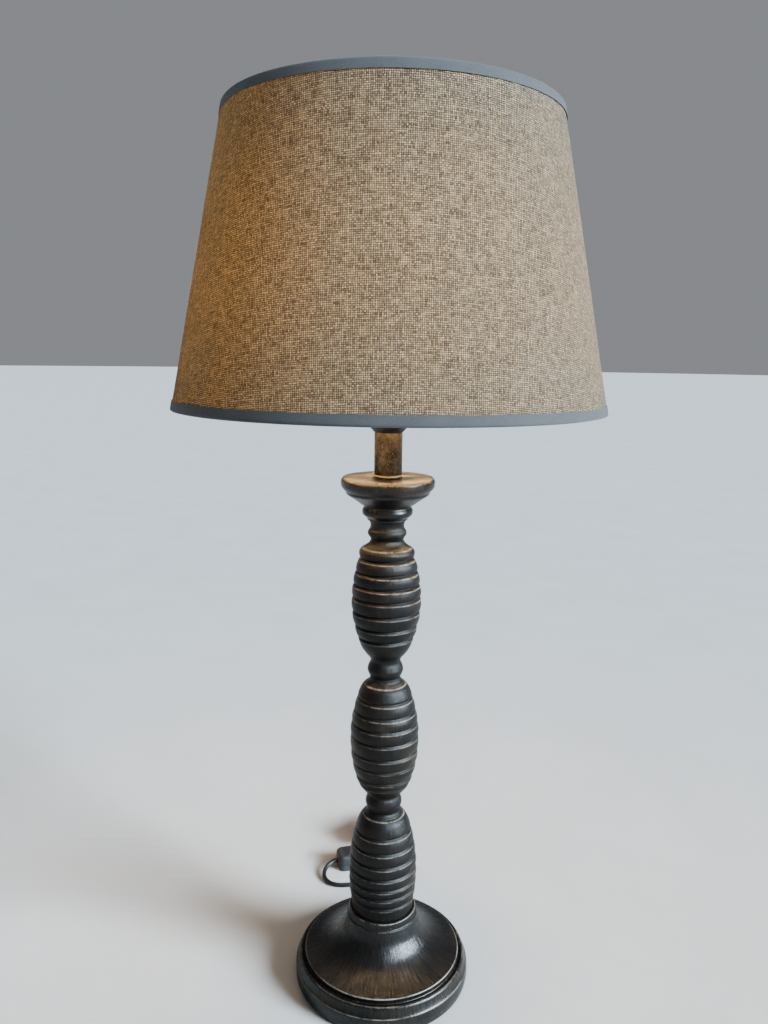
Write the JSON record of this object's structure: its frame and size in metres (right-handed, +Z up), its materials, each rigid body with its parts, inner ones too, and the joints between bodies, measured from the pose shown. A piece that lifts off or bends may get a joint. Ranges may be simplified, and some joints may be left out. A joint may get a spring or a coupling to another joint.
{
  "type": "table lamp",
  "caption": "Tall table lamp: turned wooden column with ringed bulges on a bell-shaped foot, tapered fabric drum shade, screw lampholder, mains lead with an inline rocker switch and plug.",
  "frame": {"origin": "centre of the foot's underside, on the surface the lamp stands on", "axes": "+Z up along the column; -Y is the front, +Y the side where the mains lead leaves the foot; +X to the right"},
  "size_m": [0.4016, 0.4963, 0.8604],
  "materials": {
    "painted_wood": "near-black paint over brown wood, satin, worn at the edges",
    "felt": "dark felt",
    "steel": "zinc-plated, semi-bright",
    "bronze": "aged brown bronze finish, mottled",
    "brass": "plain brass, satin",
    "holder_plastic": "black, satin",
    "ceramic": "white, glazed",
    "aluminium": "bright",
    "bulb_glass": "frosted warm white",
    "wire_paint": "white powder coat, satin",
    "shade_fabric": "coarse heathered linen weave, matte",
    "shade_lining": "white translucent sheet, matte",
    "edge_tape": "grey woven tape, matte",
    "cord_pvc": "black flexible sheath, satin",
    "switch_plastic": "dark grey, fine texture"
  },
  "bodies": {
    "stand": {"foot": "painted_wood", "foot_pad": "felt", "column_lower": "painted_wood", "column_middle": "painted_wood", "column_upper": "painted_wood", "column_neck": "painted_wood", "column_cap": "painted_wood", "threaded_rod": "steel", "rod_washer": "steel", "rod_nut": "steel", "inner_lead": "cord_pvc", "sleeve_ring": "brass", "sleeve_tube": "bronze", "holder_base": "holder_plastic", "holder_shell": "holder_plastic", "contact_block": "ceramic", "terminal_screw_live": "brass", "terminal_screw_neutral": "brass", "centre_contact": "brass", "screw_shell": "brass", "cord_boot": "cord_pvc", "cord_lead": "cord_pvc", "cord_tail": "cord_pvc", "cord_end": "cord_pvc", "cord_coil": "cord_pvc", "coil_tie": "holder_plastic", "switch_case_lower": "switch_plastic", "switch_case_upper": "switch_plastic", "switch_pin": "steel", "switch_contact": "brass", "switch_screw_left": "steel", "switch_screw_right": "steel", "plug_body": "cord_pvc", "plug_pin_left": "brass", "plug_pin_right": "brass"},
    "shade": {"shade_fabric": "shade_fabric", "shade_lining": "shade_lining", "tape_bottom": "edge_tape", "tape_top": "edge_tape", "wire_bottom": "wire_paint", "wire_top": "wire_paint", "fitter_ring": "wire_paint", "fitter_arm_1": "wire_paint", "fitter_arm_2": "wire_paint", "fitter_arm_3": "wire_paint"},
    "ring_nut": {"shade_ring_nut": "holder_plastic"},
    "bulb": {"bulb_tip": "ceramic", "bulb_cap": "aluminium", "bulb_glass": "bulb_glass"},
    "rocker": {"switch_rocker": "switch_plastic"}
  },
  "joints": [
    {"name": "shade_turn", "type": "hinge", "parent": "stand", "child": "shade", "pos_m": [0, 0, 0.611], "axis": [0, 0, 1], "continuous": true},
    {"name": "ring_nut_turn", "type": "hinge", "parent": "stand", "child": "ring_nut", "pos_m": [0, 0, 0.617], "axis": [0, 0, 1], "range_deg": [0, 1440]},
    {"name": "bulb_out", "type": "slide", "parent": "stand", "child": "bulb", "axis": [0, 0, 1], "range_m": [0, 0.028]},
    {"name": "rocker_tilt", "type": "hinge", "parent": "stand", "child": "rocker", "pos_m": [-0.0263, 0.1885, 0.014], "axis": [-0.2588, 0.9659, 0], "range_deg": [0, 14]}
  ]
}
